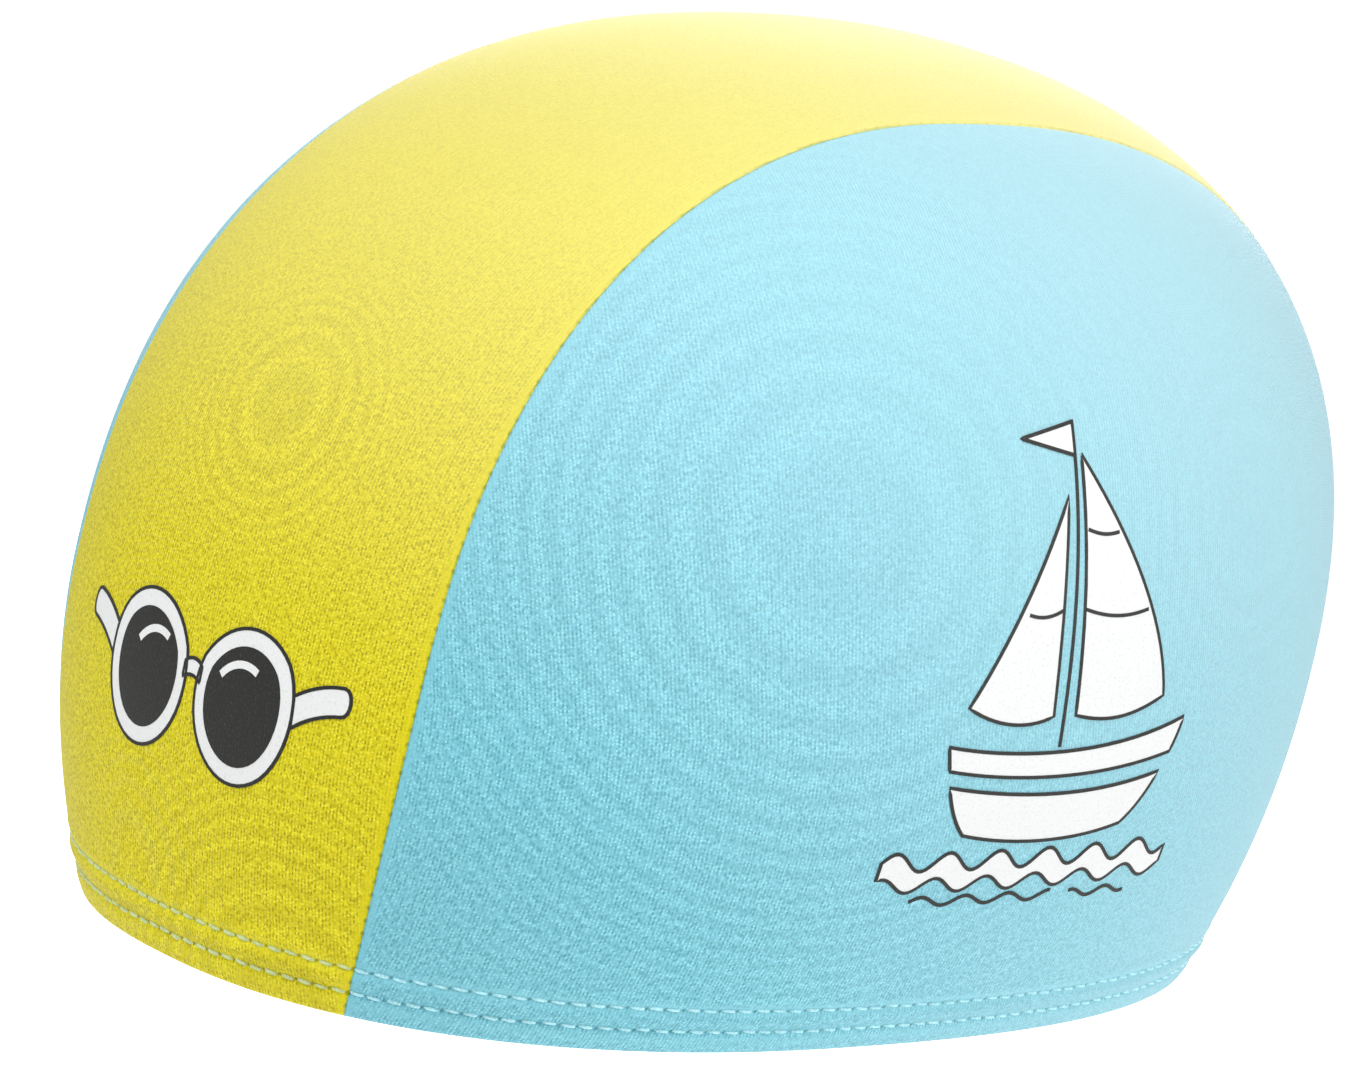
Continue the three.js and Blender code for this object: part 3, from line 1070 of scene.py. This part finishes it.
def knit_material(name, colours, arcs, fading, gloss, sheen):
    """Fine elastic knit: dashed grooves, specked wales, the hem's marks and a painted white haze.
    """
    colour, shade, light, pit_colour = colours
    s = Shader(name)
    u, v = s.uv("knit")
    drift = s.noise(s.place(u, v), 0.3, 1.0)
    wale = s.math("DIVIDE", s.math("MULTIPLY_ADD", drift, WALE_DRIFT, u), WALE_PITCH)
    grain = s.noise(s.scaled(u, v, GRAIN_DENSITY), 1.0, 2.0, 0.6)
    groove, dashes = groove_dashes(s, wale, v)
    loops, specks = wale_specks(s, wale, v)
    hole, streak = hem_marks(s)
    painted_highlight, painted_shade = painted_hem_bands(s)
    prick, margin = seam_marks(s)
    painted_haze = painted_haze_of(s)
    # The knit's marks fade where the painted haze is strong
    unfaded = s.smooth(painted_haze, 0.0, fading, 1.0, PLAIN_AT_CROWN)
    plain = s.product(unfaded, s.math("MULTIPLY_ADD", margin, -PLAIN_BY_SEAM, 1.0))
    # Darker marks: the dashes and the grain, with painted shade in the puckers and under the roll
    dark = s.joined(
        "MAXIMUM",
        dashes,
        s.smooth(grain, *DARK_GRAIN, 0.0, GRAIN_DARK),
        s.product(streak, PUCKER_SHADE_SHARE),
        s.product(painted_shade, PAINTED_SHADE_SHARE),
    )
    # Lighter marks: the grain, with painted highlights on the loops and on top of the roll
    bright = s.joined(
        "MAXIMUM",
        specks,
        s.smooth(grain, *BRIGHT_GRAIN, 0.0, GRAIN_BRIGHT),
        s.product(painted_highlight, PAINTED_HIGHLIGHT_SHARE),
    )
    tone = s.mix(s.product(dark, plain), rgb(*colour), rgb(*shade))
    tone = s.mix(s.product(bright, plain), tone, rgb(*light))
    tone = s.mix(s.product(knit_arcs(s, arcs), plain, ARC_SHARE), tone, rgb(*shade))
    # Painted white haze of the lights' sheen, towards the crown and the back
    tone = s.mix(painted_haze, tone, rgb(*PAINTED_HAZE_WHITE))
    # Painted shade in the hem's needle holes; the seam's dark pricks take the same colour
    pit = s.product(hole, unfaded, HOLE_SHADE_SHARE)
    pit = s.math("MAXIMUM", pit, s.product(prick, unfaded, PRICK_SHARE))
    tone = s.mix(pit, tone, rgb(*pit_colour))
    s.put(s.surface.inputs["Base Color"], tone)
    height = s.math("MULTIPLY", loops, LOOP_BUMP)
    marks = [(groove, GROOVE_BUMP), (grain, GRAIN_BUMP), (hole, HOLE_BUMP), (streak, STREAK_BUMP)]
    for mark, share in marks:
        height = s.math("MULTIPLY_ADD", mark, share, height)
    s.bump(height, 0.5, KNIT_BUMP_DEPTH)
    s.even(Roughness=0.55, Specular_IOR_Level=gloss)
    s.even(Sheen_Weight=sheen, Sheen_Roughness=0.45, Sheen_Tint=rgb(1, 1, 1))
    return s.material


def thread_material(name):
    """Polyester thread with a fine twist, which takes up the colour of the yellow cloth."""
    s = Shader(name)
    cloth, _ = s.uv("cloth")
    twist = s.noise(object_place(s), TWIST_DENSITY, 2.0, 0.6)
    tints = (THREAD_ON_BLUE, THREAD_ON_YELLOW)
    tone = s.mix(cloth, *[rgb(*tint) for tint in tints])
    darker = s.mix(cloth, *[rgb(*[c * THREAD_SHADE for c in tint]) for tint in tints])
    s.put(s.surface.inputs["Base Color"], s.mix(s.smooth(twist, *TWIST_FADE), tone, darker))
    s.bump(twist, 0.5, TWIST_BUMP_DEPTH)
    s.even(Roughness=0.5, Sheen_Weight=0.1)
    return s.material


def print_material(name, colours, roughness):
    """Printed film with a little of the knit's grain and ribs."""
    s = Shader(name)
    u, v = s.uv("knit")
    wale = s.math("SINE", s.math("MULTIPLY", u, 2 * math.pi / WALE_PITCH))
    grain = s.noise(s.place(u, v), FILM_GRAIN_DENSITY, 2.0, 0.6)
    fade = s.math("MULTIPLY", s.smooth(grain, *FILM_GRAIN), FILM_FADE)
    s.put(s.surface.inputs["Base Color"], s.mix(fade, *[rgb(*c) for c in colours]))
    s.bump(s.math("MULTIPLY_ADD", wale, FILM_WALE_BUMP, grain), 0.4, FILM_BUMP_DEPTH)
    s.even(Roughness=roughness, Specular_IOR_Level=0.3)
    return s.material


# Studio


def lit_when_seen(tree, strength, light, seen):
    """Sets how strongly a surface glows on the cap, and how strongly where the camera sees it."""
    path = tree.nodes.new("ShaderNodeLightPath")
    chosen = tree.nodes.new("ShaderNodeMapRange")
    chosen.inputs["To Min"].default_value = light
    chosen.inputs["To Max"].default_value = seen
    tree.links.new(path.outputs["Is Camera Ray"], chosen.inputs["Value"])
    tree.links.new(chosen.outputs["Result"], strength)


def studio():
    """A pale floor well below the cap, a white surround and soft lights."""
    world = bpy.data.worlds.new("studio")
    world.use_nodes = True
    surround = world.node_tree.nodes["Background"]
    surround.inputs["Color"].default_value = rgb(1, 1, 1)
    lit_when_seen(world.node_tree, surround.inputs["Strength"], WORLD_LIGHT, WORLD_SEEN)
    bpy.context.scene.world = world
    floor_shader = Shader("floor_white")
    floor_shader.even(Base_Color=rgb(*FLOOR_COLOUR), Roughness=0.9, Specular_IOR_Level=0.0)
    floor_shader.even(Emission_Color=rgb(1, 1, 1))
    glow = floor_shader.surface.inputs["Emission Strength"]
    lit_when_seen(floor_shader.tree, glow, FLOOR_GLOW, FLOOR_SEEN)
    mesh = bpy.data.meshes.new("floor")
    turn = np.linspace(0, 2 * np.pi, FLOOR_SIDES, endpoint=False)
    across, deep = FLOOR_RADIUS * np.cos(turn), FLOOR_RADIUS * np.sin(turn)
    rim = np.stack([across, deep, 0 * turn + FLOOR_LEVEL], -1)
    mesh.from_pydata(rim.tolist(), [], [list(range(len(rim)))])
    mesh.materials.append(floor_shader.material)
    floor = bpy.data.objects.new("floor", mesh)
    bpy.context.scene.collection.objects.link(floor)
    for name, azimuth, elevation, power in LIGHTS:
        soft_light(name, azimuth, elevation, power)
    view = bpy.context.scene.view_settings
    view.view_transform = "Standard"
    view.look = "None"
    view.exposure = 0.0
    view.gamma = 1.0


def direction(azimuth, elevation):
    """The way from the cap to a place that azimuth round from the front and that far up."""
    az, el = math.radians(azimuth), math.radians(elevation)
    return Vector((math.sin(az) * math.cos(el), -math.cos(az) * math.cos(el), math.sin(el)))


def soft_light(name, azimuth, elevation, power):
    data = bpy.data.lights.new(name, "AREA")
    data.shape = "DISK"
    data.size = LIGHT_SIZE
    data.energy = power
    light = bpy.data.objects.new(name, data)
    way = direction(azimuth, elevation)
    light.location = Vector(SHAPE_CENTRE) * MM + way * LIGHT_DISTANCE
    light.rotation_euler = way.to_track_quat("Z", "Y").to_euler()
    bpy.context.scene.collection.objects.link(light)


def camera():
    data = bpy.data.cameras.new("camera")
    data.lens = VIEW_LENS
    data.sensor_width = SENSOR_WIDTH
    data.clip_end = CLIP_END
    made = bpy.data.objects.new("camera", data)
    back = direction(VIEW_AZIMUTH, VIEW_ELEVATION)
    az, roll = math.radians(VIEW_AZIMUTH), math.radians(VIEW_ROLL)
    level = Vector((math.cos(az), math.sin(az), 0))
    upright = back.cross(level)
    right = level * math.cos(roll) - upright * math.sin(roll)
    up = level * math.sin(roll) + upright * math.cos(roll)
    place = Vector(SHAPE_CENTRE) + right * VIEW_SHIFT_RIGHT + up * VIEW_SHIFT_UP
    place = (place + back * VIEW_DISTANCE) * MM
    turn = Matrix((right, up, back)).transposed().to_4x4()
    made.matrix_world = Matrix.Translation(place) @ turn
    bpy.context.scene.collection.objects.link(made)
    bpy.context.scene.camera = made


def build():
    camera()
    studio()
    blue_arcs = LEFT_ARCS + RIGHT_ARCS
    blue = knit_material("blue_knit", BLUE, blue_arcs, fading=0.3, gloss=0.25, sheen=0.1)
    yellow = knit_material("yellow_knit", YELLOW, YELLOW_ARCS, fading=0.2, gloss=0.15, sheen=0.04)
    thread = thread_material("hem_thread")
    white = print_material("print_white", WHITE_FILM, roughness=0.6)
    dark = print_material("print_dark", DARK_FILM, roughness=0.5)
    left, right = side_panels(blue)
    centre = centre_panel(yellow)
    hem = [
        hem_stitches("hem_stitches_lower", LOWER_ROW, 3, thread),
        hem_stitches("hem_stitches_upper", UPPER_ROW, 4, thread),
        hem_looper("hem_looper_first", 0.0, thread),
        hem_looper("hem_looper_second", 0.5, thread),
    ]
    left_seam = [
        seam_fold("seam_fold_left", 1, blue),
        seam_overlock("seam_overlock_left", 1, thread),
    ]
    right_seam = [
        seam_fold("seam_fold_right", -1, blue),
        seam_overlock("seam_overlock_right", -1, thread),
    ]
    on_left = hem + left_seam + side_print(white, dark)
    on_centre = hem + front_print(white, dark)


build()
